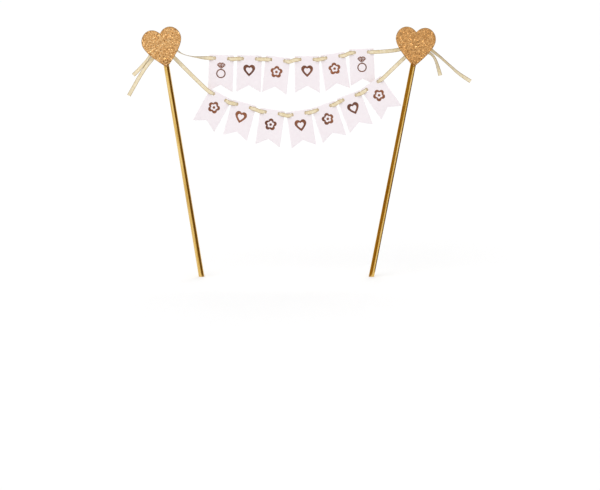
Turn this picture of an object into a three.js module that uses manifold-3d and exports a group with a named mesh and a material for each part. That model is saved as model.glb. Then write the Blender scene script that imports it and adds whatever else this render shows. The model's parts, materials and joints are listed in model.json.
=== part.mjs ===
import * as THREE from 'three';
import { mergeVertices } from 'three/addons/utils/BufferGeometryUtils.js';
import Module from 'manifold-3d';

// Bunting cake topper: two gold sticks with a glitter heart each, and two rows of
// swallow-tail flags threaded on narrow ribbons that are tied between the sticks.
// Millimetres. Z is up, X runs to the viewer's right and Y points away from the viewer.
// The origin is on the surface that the sticks are pushed into, midway between them.
// Angles are in degrees. A positive lean, turn or tilt is clockwise as the viewer sees it.

// Sticks
const STICK_DIAMETER = 4.5;
const STICK_LENGTH = 232;
const STICK_INSERT = 35;
const LEFT_STICK_LEAN = -9.3;
const RIGHT_STICK_LEAN = 11;

// Hearts
const HEART_WIDTH = 32;
const HEART_HEIGHT = 32;
const HEART_SHOULDER = 22.5;
const HEART_NOTCH = 4;
const HEART_LOBE_OFFSET = 7.4;
const HEART_TIP_PULL = 4.5;
const HEART_SIDE_PULL = 7.5;
const HEART_CREASE = 1.5;
const HEART_THICKNESS = 2;
const HEART_EDGE_ROUND = 0.3;
const HEART_SHIFT = 0.6;
const LEFT_HEART_TURN = -12;
const RIGHT_HEART_TURN = 4;
const LEFT_TIP_DROP = 4.2;
const RIGHT_TIP_DROP = 3.5;

// Foam pad between each heart and its stick
const PAD_WIDTH = 4.6;
const PAD_HEIGHT = 5.5;
const PAD_THICKNESS = 3.2;
const PAD_HUG = 0.9;
const PAD_CLEARANCE = 0.9;

// Ribbon and its knots
const RIBBON_WIDTH = 3;
const RIBBON_THICKNESS = 0.3;
const RIBBON_CHAMFER = 0.08;
const BUNCHED_WIDTH = 2.2;
const BUNCHED_LENGTH = 9;
const WRAP_THICKNESS = 0.6;
const KNOT_DROP = 6.4;
const KNOT_GAP = 2.3;
const KNOT_REACH = 3.4;
const LUMP_LENGTH = 4.4;
const LUMP_WIDTH = 3.2;
const LUMP_DEPTH = 2.6;

// Flags
const FLAG_WIDTH = 19.6;
const FLAG_HEIGHT = 29.4;
const FLAG_NOTCH = 5.4;
const CARD_THICKNESS = 0.4;
const HOLE_DIAMETER = 3.5;
const HOLE_SPACING = 12.2;
const HOLE_DROP = 2.8;

// How the ribbon is woven: in front of the card at its sides, behind it between the holes
const WEAVE_GAP = 0.8;
const CROSS_RUN = 2.4;
const NECK_RUN = 5.2;
const NECK_CLEARANCE = 0.75;

// Upper row: each flag's tilt, the gaps between flags, the ribbon's slope across each, and its free ends
const UPPER_TILTS = [2.5, 1.5, 6, -0.5, -8.5, -2.5];
const UPPER_GAPS = [2.7, 3, 4.2, 1.2, 3.8];
const UPPER_SLOPES = [-8, -2, -22, -22, -30];
const UPPER_DROP = 11.4;
const UPPER_LEFT_LEAD = 33.5;
const UPPER_RIGHT_LEAD = 31.25;
const UPPER_LEFT_CURVE = { knotPull: 12, knotFall: 24, flagPull: 29 };
const UPPER_RIGHT_CURVE = { knotPull: 8, knotFall: 28, flagPull: 22 };
const UPPER_LEFT_TWIST = 80;

// Lower row
const LOWER_TILTS = [29, 15, 8, -8.5, -18.5, -21, -35];
const LOWER_GAPS = [1.1, 4, 2.2, 1.1, 2.4, 1.2];
const LOWER_SLOPES = [-8, 24, 24, -20, -40, -28];
const LOWER_DROP = 36.3;
const LOWER_LEFT_LEAD = 32.3;
const LOWER_LEFT_CURVE = { knotPull: 12, knotFall: 45, flagPull: 4 };
const LOWER_RIGHT_CURVE = { knotPull: 10, knotFall: 38, flagPull: 3 };

// Ribbon tails, as offsets from the end of the knot that each hangs from: out, back, up
const UPPER_LEFT_TAIL = [
  [0, 0, 0], [2.7, 0.2, -4], [5.9, 0.2, -10], [11.1, -0.4, -16.7], [15.4, -1.2, -21.4],
  [18.8, -1.8, -24.6],
];
const LOWER_LEFT_TAIL = [
  [0, 0, 0], [2.6, -0.2, -3], [5.8, -0.4, -7.2], [9.6, -0.4, -12], [14.6, -0.2, -19.8],
  [19, 0.4, -27.6], [23.2, 1, -35.2],
];
const UPPER_RIGHT_TAIL = [
  [0, 0, 0], [3.4, 0, -2], [8, -0.2, -5.8], [13.7, -0.4, -10.4], [20.3, -0.4, -16.3],
  [28.4, 0, -23.5], [37.8, 0.8, -29.9],
];
const LOWER_RIGHT_TAIL = [
  [0, 0, 0], [4, -0.2, -0.2], [7.4, -0.4, -1.7], [10, -0.4, -4.9], [12.2, -0.2, -10.4],
  [14.6, 0.4, -18.9],
];
const TAIL_TWISTS = { upperLeft: 50, lowerLeft: 15, upperRight: 48, lowerRight: 48 };

// Fits and facets
const SEAT_GAP = 0.3;
const ROUND_SIDES = 24;
const LUMP_SIDES = 12;
const LUMP_RINGS = 8;
const CURVE_SEGMENTS = 8;
const LEAD_STEPS = 9;
const TAIL_STEPS = 14;
const QUARTER_ARC = 0.5523;

const radians = THREE.MathUtils.degToRad;
const stickRadius = STICK_DIAMETER / 2;
const boreRadius = stickRadius + SEAT_GAP;
const stickRise = STICK_LENGTH - STICK_INSERT;
const rowDepth = boreRadius + WRAP_THICKNESS / 2;
const standOff = (CARD_THICKNESS + RIBBON_THICKNESS) / 2 + WEAVE_GAP;
const heartBack = boreRadius + PAD_THICKNESS + SEAT_GAP;
const lumpOut = (LUMP_LENGTH + WRAP_THICKNESS) / 2;
const depthAxis = new THREE.Vector3(0, 1, 0);

const stickGold = { color: 0xc79a3c, roughness: 0.25, metalness: 1 };
const glitterGold = { color: 0xcf9f63, roughness: 0.55, metalness: 0.7 };
const ribbonGold = { color: 0xe6d6ad, roughness: 0.6, metalness: 0.2 };
const paleCard = { color: 0xf8eff2, roughness: 0.85, metalness: 0 };
const whiteFoam = { color: 0xf2f0ea, roughness: 0.9, metalness: 0 };

const wasm = await Module();
wasm.setup();

function toSolid(geometry) {
  const bare = geometry.index ? geometry.toNonIndexed() : geometry.clone();
  bare.deleteAttribute('normal');
  bare.deleteAttribute('uv');
  const merged = mergeVertices(bare, 1e-4);
  const vertProperties = new Float32Array(merged.attributes.position.array);
  const triVerts = new Uint32Array(merged.index.array);
  return new wasm.Manifold(new wasm.Mesh({ numProp: 3, vertProperties, triVerts }));
}

function toGeometry(solid) {
  const { vertProperties, triVerts } = solid.getMesh();
  const geometry = new THREE.BufferGeometry();
  geometry.setAttribute('position', new THREE.BufferAttribute(vertProperties, 3));
  geometry.setIndex(new THREE.BufferAttribute(triVerts, 1));
  geometry.computeVertexNormals();
  return geometry;
}

function addMesh(parent, name, geometry, finish) {
  const mesh = new THREE.Mesh(geometry, new THREE.MeshStandardMaterial(finish));
  mesh.name = name;
  parent.add(mesh);
  return mesh;
}

// A flat strip swept through stations, each with its own width and twist; a square station faces along X
class StripPath extends THREE.Curve {
  constructor(stations) {
    super();
    this.stations = stations;
  }

  getPoint(share, target = new THREE.Vector3()) {
    const place = share * (this.stations.length - 1);
    const before = Math.min(Math.floor(place), this.stations.length - 2);
    return target.lerpVectors(this.stations[before].point, this.stations[before + 1].point, place - before);
  }

  getSpacedPoints() {
    return this.stations.map((station) => station.point);
  }

  computeFrenetFrames() {
    const frames = { tangents: [], normals: [], binormals: [] };
    const last = this.stations.length - 1;
    this.stations.forEach((station, index) => {
      const here = station.point;
      const before = this.stations[Math.max(index - 1, 0)].point;
      const after = this.stations[Math.min(index + 1, last)].point;
      const arriving = index > 0 ? here.clone().sub(before) : after.clone().sub(here);
      const leaving = index < last ? after.clone().sub(here) : here.clone().sub(before);
      const tangent = arriving.normalize().clone().add(leaving.normalize()).normalize();
      const mitre = station.square ? 1 : 1 / tangent.dot(leaving);
      if (station.square) tangent.set(Math.sign(tangent.x), 0, 0);
      const across = tangent.clone().cross(depthAxis).normalize();
      across.applyAxisAngle(tangent, radians(station.twist));
      const through = tangent.clone().cross(across);
      frames.tangents.push(tangent);
      frames.normals.push(across.multiplyScalar(station.width));
      frames.binormals.push(through.multiplyScalar(mitre));
    });
    return frames;
  }
}

function stripGeometry(stations) {
  const half = RIBBON_THICKNESS / 2;
  const inset = 0.5 - RIBBON_CHAMFER / RIBBON_WIDTH;
  const section = new THREE.Shape([
    new THREE.Vector2(-inset, -half),
    new THREE.Vector2(inset, -half),
    new THREE.Vector2(0.5, RIBBON_CHAMFER - half),
    new THREE.Vector2(0.5, half - RIBBON_CHAMFER),
    new THREE.Vector2(inset, half),
    new THREE.Vector2(-inset, half),
    new THREE.Vector2(-0.5, half - RIBBON_CHAMFER),
    new THREE.Vector2(-0.5, RIBBON_CHAMFER - half),
  ]);
  const extrudePath = new StripPath(stations);
  return new THREE.ExtrudeGeometry(section, { steps: stations.length - 1, extrudePath });
}

// A point along a tilted place, such as a flag's hole line, at a depth behind the row's plane
function alongTilt(place, distance, depth) {
  const tilt = radians(place.tilt);
  return new THREE.Vector3(place.x + distance * Math.cos(tilt), depth, place.z - distance * Math.sin(tilt));
}

// The places of a row's flags, from the first flag's hole centre, each one gap on from the last
function layRow(tilts, gaps, slopes) {
  const places = [{ x: 0, z: 0, tilt: tilts[0] }];
  for (let index = 1; index < tilts.length; index += 1) {
    const edge = alongTilt(places[index - 1], FLAG_WIDTH / 2, 0);
    const nextEdge = alongTilt({ x: edge.x, z: edge.z, tilt: slopes[index - 1] }, gaps[index - 1], 0);
    const centre = alongTilt({ x: nextEdge.x, z: nextEdge.z, tilt: tilts[index] }, FLAG_WIDTH / 2, 0);
    places.push({ x: centre.x, z: centre.z, tilt: tilts[index] });
  }
  return places;
}

function shiftRow(places, x, z) {
  return places.map((place) => ({ x: place.x + x, z: place.z + z, tilt: place.tilt }));
}

function halfSpan(place) {
  return (FLAG_WIDTH / 2) * Math.cos(radians(place.tilt));
}

function flagStations(place) {
  const neck = Math.min(HOLE_DIAMETER - 2 * NECK_CLEARANCE, RIBBON_WIDTH);
  const steps = [
    { from: -NECK_RUN / 2, width: RIBBON_WIDTH },
    { from: -CROSS_RUN / 2, width: neck },
    { from: CROSS_RUN / 2, width: neck },
    { from: NECK_RUN / 2, width: RIBBON_WIDTH },
  ];
  const stations = [];
  for (const side of [-1, 1]) {
    for (const step of steps) {
      const inside = side * step.from < 0;
      const point = alongTilt(place, (side * HOLE_SPACING) / 2 + step.from, inside ? standOff : -standOff);
      stations.push({ point, width: step.width, twist: 0 });
    }
  }
  return stations;
}

// The ribbon's width near a knot, where it is bunched
function openedWidth(point, knotEnd) {
  const opened = Math.min(point.distanceTo(knotEnd) / BUNCHED_LENGTH, 1);
  return THREE.MathUtils.lerp(BUNCHED_WIDTH, RIBBON_WIDTH, opened);
}

// The free ribbon from a knot to the nearest flag, cut square at the knot
function leadStations(knotX, knotZ, place, side, shape, twist) {
  const fall = radians(shape.knotFall);
  const flagReach = (HOLE_SPACING + NECK_RUN) / 2;
  const knotEnd = new THREE.Vector3(knotX - side * SEAT_GAP, 0, knotZ);
  const leaving = new THREE.Vector3(-side * Math.cos(fall), 0, -Math.sin(fall));
  const knotPull = leaving.multiplyScalar(shape.knotPull).add(knotEnd);
  const flagEnd = alongTilt(place, side * flagReach, -standOff);
  const flagPull = alongTilt(place, side * (flagReach + shape.flagPull), -standOff);
  const curve = new THREE.CubicBezierCurve3(knotEnd, knotPull, flagPull, flagEnd);
  const stations = [];
  for (let step = 0; step < LEAD_STEPS; step += 1) {
    const share = step / LEAD_STEPS;
    const point = curve.getPoint(share);
    const width = openedWidth(point, knotEnd);
    stations.push({ point, width, twist: twist * Math.sin(Math.PI * share), square: step === 0 });
  }
  return side < 0 ? stations : stations.reverse();
}

function ribbonStations(row) {
  const first = row.places[0];
  const last = row.places[row.places.length - 1];
  return [
    ...leadStations(row.leftX, row.knotZ, first, -1, row.leftCurve, row.leftTwist),
    ...row.places.flatMap(flagStations),
    ...leadStations(row.rightX, row.knotZ, last, 1, row.rightCurve, 0),
  ];
}

function flagGeometry() {
  const half = FLAG_WIDTH / 2;
  const top = HOLE_DROP;
  const bottom = HOLE_DROP - FLAG_HEIGHT;
  const outline = new THREE.Shape();
  outline.moveTo(-half, top);
  outline.lineTo(-half, bottom);
  outline.lineTo(0, bottom + FLAG_NOTCH);
  outline.lineTo(half, bottom);
  outline.lineTo(half, top);
  outline.closePath();
  for (const side of [-1, 1]) {
    const hole = new THREE.Path();
    hole.absarc((side * HOLE_SPACING) / 2, 0, HOLE_DIAMETER / 2, 0, 2 * Math.PI, true);
    outline.holes.push(hole);
  }
  const options = { depth: CARD_THICKNESS, bevelEnabled: false, curveSegments: CURVE_SEGMENTS };
  const geometry = new THREE.ExtrudeGeometry(outline, options);
  geometry.translate(0, 0, -CARD_THICKNESS / 2);
  geometry.rotateX(Math.PI / 2);
  return geometry;
}

// The heart's outline, from its tip up the right side, over both lobes and down to the tip
function heartShape() {
  const half = HEART_WIDTH / 2;
  const notch = HEART_HEIGHT - HEART_NOTCH;
  const sidePull = HEART_SHOULDER - HEART_SIDE_PULL;
  const shoulderPull = HEART_SHOULDER + QUARTER_ARC * (HEART_HEIGHT - HEART_SHOULDER);
  const lobePull = HEART_LOBE_OFFSET + QUARTER_ARC * (half - HEART_LOBE_OFFSET);
  const innerPull = HEART_LOBE_OFFSET * QUARTER_ARC;
  const notchPull = notch + HEART_NOTCH / 2;
  const shape = new THREE.Shape();
  shape.moveTo(0, 0);
  shape.bezierCurveTo(HEART_TIP_PULL, HEART_TIP_PULL, half, sidePull, half, HEART_SHOULDER);
  shape.bezierCurveTo(half, shoulderPull, lobePull, HEART_HEIGHT, HEART_LOBE_OFFSET, HEART_HEIGHT);
  shape.bezierCurveTo(innerPull, HEART_HEIGHT, HEART_CREASE, notchPull, 0, notch);
  shape.bezierCurveTo(-HEART_CREASE, notchPull, -innerPull, HEART_HEIGHT, -HEART_LOBE_OFFSET, HEART_HEIGHT);
  shape.bezierCurveTo(-lobePull, HEART_HEIGHT, -half, shoulderPull, -half, HEART_SHOULDER);
  shape.bezierCurveTo(-half, sidePull, -HEART_TIP_PULL, HEART_TIP_PULL, 0, 0);
  return shape;
}

function heartGeometry() {
  const geometry = new THREE.ExtrudeGeometry(heartShape(), {
    depth: HEART_THICKNESS - 2 * HEART_EDGE_ROUND,
    bevelThickness: HEART_EDGE_ROUND,
    bevelSize: HEART_EDGE_ROUND,
    bevelOffset: -HEART_EDGE_ROUND,
    bevelSegments: 1,
    curveSegments: CURVE_SEGMENTS,
  });
  geometry.translate(0, 0, HEART_EDGE_ROUND);
  geometry.rotateX(Math.PI / 2);
  return geometry;
}

// A foam block whose back is hollowed to sit on the stick, from its lower end upwards
function padGeometry() {
  const front = boreRadius + PAD_THICKNESS;
  const depth = PAD_THICKNESS + PAD_HUG;
  const block = new THREE.BoxGeometry(PAD_WIDTH, depth, PAD_HEIGHT);
  block.translate(0, depth / 2 - front, PAD_HEIGHT / 2);
  const hollow = new THREE.CylinderGeometry(boreRadius, boreRadius, 2 * PAD_HEIGHT, ROUND_SIDES);
  hollow.rotateX(Math.PI / 2);
  hollow.translate(0, 0, PAD_HEIGHT / 2);
  return toGeometry(toSolid(block).subtract(toSolid(hollow)));
}

// A wrap round the leaning stick, a tab towards the middle and a lump on the outer side
function knotGeometry(lean, inward, depth) {
  const outer = boreRadius + WRAP_THICKNESS;
  const half = RIBBON_WIDTH / 2;
  const profile = [
    new THREE.Vector2(boreRadius, -half),
    new THREE.Vector2(outer, -half),
    new THREE.Vector2(outer, half),
    new THREE.Vector2(boreRadius, half),
    new THREE.Vector2(boreRadius, -half),
  ];
  const wrap = new THREE.LatheGeometry(profile, ROUND_SIDES);
  wrap.rotateX(Math.PI / 2);
  wrap.rotateY(radians(lean));
  const tab = new THREE.BoxGeometry(KNOT_REACH, WRAP_THICKNESS, BUNCHED_WIDTH);
  tab.translate((inward * KNOT_REACH) / 2, depth, 0);
  const lump = new THREE.SphereGeometry(0.5, LUMP_SIDES, LUMP_RINGS);
  lump.scale(LUMP_LENGTH, LUMP_DEPTH, LUMP_WIDTH);
  lump.translate(-inward * lumpOut, depth, 0);
  const bore = new THREE.CylinderGeometry(boreRadius, boreRadius, STICK_LENGTH, ROUND_SIDES);
  bore.rotateX(Math.PI / 2);
  bore.rotateY(radians(lean));
  return toGeometry(toSolid(wrap).add(toSolid(tab)).add(toSolid(lump)).subtract(toSolid(bore)));
}

function tailStations(knot, points, twist) {
  const curve = new THREE.CatmullRomCurve3(points.map(([out, back, up]) => new THREE.Vector3(
    knot.x - knot.inward * (lumpOut + LUMP_LENGTH / 2 + SEAT_GAP + out),
    knot.depth + back,
    knot.z + up,
  )));
  return curve.getSpacedPoints(TAIL_STEPS).map((point, step) => {
    const width = openedWidth(point, curve.points[0]);
    return { point, width, twist: twist * Math.sin((Math.PI * step) / TAIL_STEPS), square: step === 0 };
  });
}

// The sticks stand where the upper ribbon just reaches between them
const leans = { left: LEFT_STICK_LEAN, right: RIGHT_STICK_LEAN };
const lowerTop = stickRise * Math.min(Math.cos(radians(leans.left)), Math.cos(radians(leans.right)));
const upperKnotZ = lowerTop - KNOT_DROP;
const lowerKnotZ = upperKnotZ - Math.max(RIBBON_WIDTH, LUMP_WIDTH) - KNOT_GAP;

const upperLaid = layRow(UPPER_TILTS, UPPER_GAPS, UPPER_SLOPES);
const upperEnd = upperLaid[upperLaid.length - 1];
const upperLeftX = -halfSpan(upperLaid[0]) - UPPER_LEFT_LEAD;
const upperRightX = upperEnd.x + halfSpan(upperEnd) + UPPER_RIGHT_LEAD;
const leftFoot = upperLeftX - KNOT_REACH - upperKnotZ * Math.tan(radians(leans.left));
const rightFoot = upperRightX + KNOT_REACH - upperKnotZ * Math.tan(radians(leans.right));
const middle = (leftFoot + rightFoot) / 2;
const feet = { left: leftFoot - middle, right: rightFoot - middle };

function axisX(side, z) {
  return feet[side] + z * Math.tan(radians(leans[side]));
}

const upperRow = {
  places: shiftRow(upperLaid, -middle, upperKnotZ - UPPER_DROP),
  knotZ: upperKnotZ,
  depth: rowDepth,
  leftX: axisX('left', upperKnotZ) + KNOT_REACH,
  rightX: axisX('right', upperKnotZ) - KNOT_REACH,
  leftCurve: UPPER_LEFT_CURVE,
  rightCurve: UPPER_RIGHT_CURVE,
  leftTwist: UPPER_LEFT_TWIST,
};

const lowerLaid = layRow(LOWER_TILTS, LOWER_GAPS, LOWER_SLOPES);
const lowerLeftX = axisX('left', lowerKnotZ) + KNOT_REACH;
const lowerFirstX = lowerLeftX + LOWER_LEFT_LEAD + halfSpan(lowerLaid[0]);
const lowerRow = {
  places: shiftRow(lowerLaid, lowerFirstX, lowerKnotZ - LOWER_DROP),
  knotZ: lowerKnotZ,
  depth: -rowDepth,
  leftX: lowerLeftX,
  rightX: axisX('right', lowerKnotZ) - KNOT_REACH,
  leftCurve: LOWER_LEFT_CURVE,
  rightCurve: LOWER_RIGHT_CURVE,
  leftTwist: 0,
};

// Each side: the stick with its pad and heart, all leaning together
function addSide(topper, side, heartTurn, tipDrop) {
  const stand = new THREE.Group();
  stand.position.x = feet[side];
  stand.rotation.y = radians(leans[side]);
  topper.add(stand);

  const stick = new THREE.CylinderGeometry(stickRadius, stickRadius, STICK_LENGTH, ROUND_SIDES);
  stick.rotateX(Math.PI / 2);
  addMesh(stand, `${side}_stick`, stick, stickGold).position.z = STICK_LENGTH / 2 - STICK_INSERT;

  const knotFoot = lowerKnotZ / Math.cos(radians(leans[side])) - RIBBON_WIDTH / 2;
  const padFoot = knotFoot - PAD_CLEARANCE - PAD_HEIGHT;
  addMesh(stand, `${side}_pad`, padGeometry(), whiteFoam).position.z = padFoot;

  const heart = addMesh(stand, `${side}_heart`, heartGeometry(), glitterGold);
  heart.position.set(HEART_SHIFT, -heartBack, padFoot - tipDrop);
  heart.rotation.y = radians(heartTurn - leans[side]);
}

// Each tie: a knot on the stick and the tail that hangs from it
function addTie(topper, side, level, row, tailPoints, tailTwist) {
  const inward = side === 'left' ? 1 : -1;
  const knot = { x: axisX(side, row.knotZ), z: row.knotZ, depth: row.depth, inward };
  const hitch = knotGeometry(leans[side], inward, row.depth);
  addMesh(topper, `${side}_${level}_knot`, hitch, ribbonGold).position.set(knot.x, 0, knot.z);
  const tail = stripGeometry(tailStations(knot, tailPoints, tailTwist));
  addMesh(topper, `${side}_${level}_tail`, tail, ribbonGold);
}

// Each row: the woven ribbon and its flags, in one upright plane
function addRow(topper, level, row) {
  const line = new THREE.Group();
  line.position.y = row.depth;
  topper.add(line);
  addMesh(line, `${level}_ribbon`, stripGeometry(ribbonStations(row)), ribbonGold);
  row.places.forEach((place, index) => {
    const flag = addMesh(line, `${level}_flag_${index + 1}`, flagGeometry(), paleCard);
    flag.position.set(place.x, 0, place.z);
    flag.rotation.y = radians(place.tilt);
  });
}

const topper = new THREE.Group();
addSide(topper, 'left', LEFT_HEART_TURN, LEFT_TIP_DROP);
addSide(topper, 'right', RIGHT_HEART_TURN, RIGHT_TIP_DROP);
addTie(topper, 'left', 'upper', upperRow, UPPER_LEFT_TAIL, TAIL_TWISTS.upperLeft);
addTie(topper, 'left', 'lower', lowerRow, LOWER_LEFT_TAIL, TAIL_TWISTS.lowerLeft);
addTie(topper, 'right', 'upper', upperRow, UPPER_RIGHT_TAIL, TAIL_TWISTS.upperRight);
addTie(topper, 'right', 'lower', lowerRow, LOWER_RIGHT_TAIL, TAIL_TWISTS.lowerRight);
addRow(topper, 'upper', upperRow);
addRow(topper, 'lower', lowerRow);

export default topper;
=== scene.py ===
"""Looks of a bunting cake topper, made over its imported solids.

Metres. Z is up, X runs to the viewer's right and Y points away from the viewer.
"""

import json
import math
import random
from collections import namedtuple

import bpy
import numpy as np
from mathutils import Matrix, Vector, noise
from mathutils.geometry import delaunay_2d_cdt


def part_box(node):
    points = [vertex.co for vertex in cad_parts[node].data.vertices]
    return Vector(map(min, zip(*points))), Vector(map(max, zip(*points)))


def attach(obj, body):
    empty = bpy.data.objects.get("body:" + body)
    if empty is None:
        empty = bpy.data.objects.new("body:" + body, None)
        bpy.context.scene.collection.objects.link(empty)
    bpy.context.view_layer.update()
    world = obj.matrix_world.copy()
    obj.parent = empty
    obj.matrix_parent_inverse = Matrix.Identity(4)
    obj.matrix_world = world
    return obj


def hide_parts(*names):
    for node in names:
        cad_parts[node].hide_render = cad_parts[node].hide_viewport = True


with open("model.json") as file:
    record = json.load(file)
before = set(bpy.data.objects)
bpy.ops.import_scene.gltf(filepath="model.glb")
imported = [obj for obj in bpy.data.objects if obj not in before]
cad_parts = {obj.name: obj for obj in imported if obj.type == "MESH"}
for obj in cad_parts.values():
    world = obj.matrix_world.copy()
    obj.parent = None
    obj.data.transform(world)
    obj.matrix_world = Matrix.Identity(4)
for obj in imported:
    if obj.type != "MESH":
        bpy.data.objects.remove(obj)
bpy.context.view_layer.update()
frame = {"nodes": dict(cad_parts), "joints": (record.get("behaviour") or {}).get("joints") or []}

MM = 0.001
SEED = 7

# Camera, measured on the photograph
PHOTO_WIDTH = 600
PHOTO_HEIGHT = 490
PIXEL = 0.8 * MM
ORIGIN_COLUMN = 286.5
ORIGIN_ROW = 276.5
VIEW_ELEVATION = math.radians(8.5)
CAMERA_DISTANCE = 10
SENSOR_WIDTH = 36

# Ribbon and its route: bunched near a knot, tucked inside it, and with a neck in each hole of a flag
RIBBON_WIDTH = 3 * MM
RIBBON_THICKNESS = 0.3 * MM
BUNCHED_WIDTH = 2.2 * MM
BUNCHED_LENGTH = 9 * MM
BUNCHED_CUP = 0.35 * MM
HOLE_SPACING = 12.2 * MM
HOLE_RADIUS = 1.75 * MM
HOLE_SIDES = 36
NECK_WIDTH = 2.6 * MM
NECK_RUN = 5.2 * MM
NECK_CUP = 0.3 * MM
CROSS_RUN = 2.4 * MM
STAND_OFF = 1.15 * MM
KNOT_TUCK = 1.32 * MM
TAIL_TUCK = 3.6 * MM
TUCK_DEPTH = 0.5 * MM
TUCK_WIDTH = 0.5 * MM
WEAVE_STEPS = 74
LINK_STEPS = 18
LEAD_STEPS = 70

# Leads from the knots to the nearest flags, on the left and on the right
Lead = namedtuple("Lead", "knot_pull knot_fall flag_pull twist")
LEADS = {
    "upper": (
        Lead(12 * MM, math.radians(24), 29 * MM, math.radians(80)),
        Lead(8 * MM, math.radians(28), 22 * MM, 0),
    ),
    "lower": (
        Lead(12 * MM, math.radians(45), 4 * MM, 0),
        Lead(10 * MM, math.radians(38), 3 * MM, 0),
    ),
}
FLAG_COUNTS = {"upper": 6, "lower": 7}

# Tails: the twist in degrees, and points outward, back and up from the knot in millimetres
TAILS = {
    "left_upper": (
        50,
        [(0, 0, 0), (2.7, 0.2, -4), (5.9, 0.2, -10), (11.1, -0.4, -16.7), (15.4, -1.2, -21.4),
         (18.8, -1.8, -24.6)],
    ),
    "left_lower": (
        15,
        [(0, 0, 0), (2.6, -0.2, -3), (5.8, -0.4, -7.2), (9.6, -0.4, -12), (14.6, -0.2, -19.8),
         (19, 0.4, -27.6), (23.2, 1, -35.2)],
    ),
    "right_upper": (
        48,
        [(0, 0, 0), (3.4, 0, -2), (8, -0.2, -5.8), (13.7, -0.4, -10.4), (20.3, -0.4, -16.3),
         (28.4, 0, -23.5), (37.8, 0.8, -29.9)],
    ),
    "right_lower": (
        48,
        [(0, 0, 0), (4, -0.2, -0.2), (7.4, -0.4, -1.7), (10, -0.4, -4.9), (12.2, -0.2, -10.4),
         (14.6, 0.4, -18.9)],
    ),
}
TAIL_STEPS = 12

# Ribbon section: shares of the width where its face is sampled, and its corded edges
SECTION = (-0.5, -0.475, -0.44, -0.405, -0.36, -0.2, 0, 0.2, 0.36, 0.405, 0.44, 0.475, 0.5)
FACE_THICKNESS = 0.72
CORD_PLACE = 0.44
CORD_SPREAD = 0.035
CORD_RISE = 0.5
RIBS_PER_WIDTH = 9

# Knots: a ribbon that comes in, is wound once round the stick, leaves and ends in a tied lump
KNOT_REACH = 2.2 * MM
ENTRY_STEPS = 8
WRAP_RADIUS = 2.47 * MM
WRAP_GROWTH = 0.4 * MM
WRAP_RISE = 0.35 * MM
WRAP_STEPS = 60
LEAVE_STEPS = 6
LEAVE_FIRST = 2
LUMP_OUT = 2.5 * MM
LUMP_HALVES = (1.75 * MM, 1.05 * MM, 1.3 * MM)
LUMP_STRAND = 1.8 * MM
LUMP_STEPS = 72

# Flags, and the largest depths of their curl
FLAG_WIDTH = 19.6 * MM
FLAG_HEIGHT = 29.4 * MM
FLAG_NOTCH = 5.4 * MM
FLAG_TOP = 2.8 * MM
CARD_THICKNESS = 0.4 * MM
CARD_EDGE = 0.06 * MM
CARD_EDGE_STEPS = 2
CARD_SPACING = 1.3 * MM
FLAT_BELOW_HOLES = 3 * MM
ROLL = 1.1 * MM
CUP = 0.55 * MM
CUP_GAIN = 3
SKEW = 0.6 * MM

# Foil motifs on the flags
MOTIF_CENTRE = -9.4 * MM
MOTIF_HEIGHT = 9.4 * MM
FOIL_LIFT = 0.05 * MM
FOIL_THICKNESS = 0.065 * MM
FOIL_SPACING = 0.7 * MM
HEART_OPENING = 0.54
PETALS = 5
PETAL_STEPS = 24
PETAL_OUT = 2.9 * MM
PETAL_RADIUS = 2 * MM
BLOSSOM_OPENING = 0.58
STAMEN_RADIUS = 1.05 * MM
STAMEN_SIDES = 32
BAND_RADIUS = 3.75 * MM
BAND_STROKE = 0.9 * MM
BAND_CENTRE = -12.1 * MM
BAND_SIDES = 64

# The ring's stone: points along and up from its foot, in millimetres
GEM_FOOT = -8.7 * MM
GEM_TABLE = [(-1.9, 5.5), (0, 5.5), (1.9, 5.5)]
GEM_GIRDLE = [(-3.8, 3.5), (-1.3, 3.5), (1.3, 3.5), (3.8, 3.5)]
GEM_CULET = (0, 0)
FACET_SHARE = 0.84

# Hearts: the right half of the outline as curves up from the tip, in millimetres
HEART_SIZE = 32
HEART_NOTCH = 28
HEART_HALF = (
    ((0, 0), (4.5, 4.5), (16, 15), (16, 22.5)),
    ((16, 22.5), (16, 27.75), (12.15, 32), (7.4, 32)),
    ((7.4, 32), (4.09, 32), (1.5, 30), (0, HEART_NOTCH)),
)
HEART_STEPS = 26
HEART_LEANS = {"left": math.radians(12), "right": math.radians(-4)}
HEART_MIDDLE = 19 * MM
HEART_CROWN = 0.7 * MM
HEART_EDGE = 0.35 * MM
HEART_EDGE_STEPS = 3
HEART_SPACING = 1.2 * MM
# Tone of each heart's flakes as a whole: the same glitter painted lighter on the left heart and darker
# on the right, as painted light and shade
HEART_PAINTED_LIGHT_AND_SHADE = {"left": 1.08, "right": 0.84}

# Glitter flakes
FLAKE_COUNT = 2900
FLAKE_SIDES = 6
FLAKE_SMALL = 0.28 * MM
FLAKE_LARGE = 0.55 * MM
FLAKE_REACH = 0.958
FLAKE_THICKNESS = 0.06 * MM
FLAKE_TILT = 0.26
FLAKE_RISE = 0.4
FLAKE_TONE_SPREAD = (2.4, 2)

# Sticks
STICK_RADIUS = 2.25 * MM
STICK_SIDES = 96
STICK_RINGS = 60
CREASES = 11
CREASE_ROOM = (0.1, 0.9)
CREASE_DEPTH = 0.5
CREASE_WANDER = 0.07
CREASE_WAVES = 1.4
END_CHAMFER = 0.25 * MM
END_LAYERS = 6
LAYER_STEP = 0.05 * MM

# Foam pads
PAD_BORE = 2.55 * MM
PAD_RINGS = 16
PAD_TAPE = 0.25 * MM
PAD_TAPE_LIP = 0.12 * MM
PAD_BULGE = 0.16 * MM
TAPE_BULGE = 0.3
PAD_ARC_STEPS = 12
PAD_SPACING = 0.45 * MM
FOAM_PITTING = 0.05 * MM
FOAM_CELL = 0.7 * MM

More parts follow.
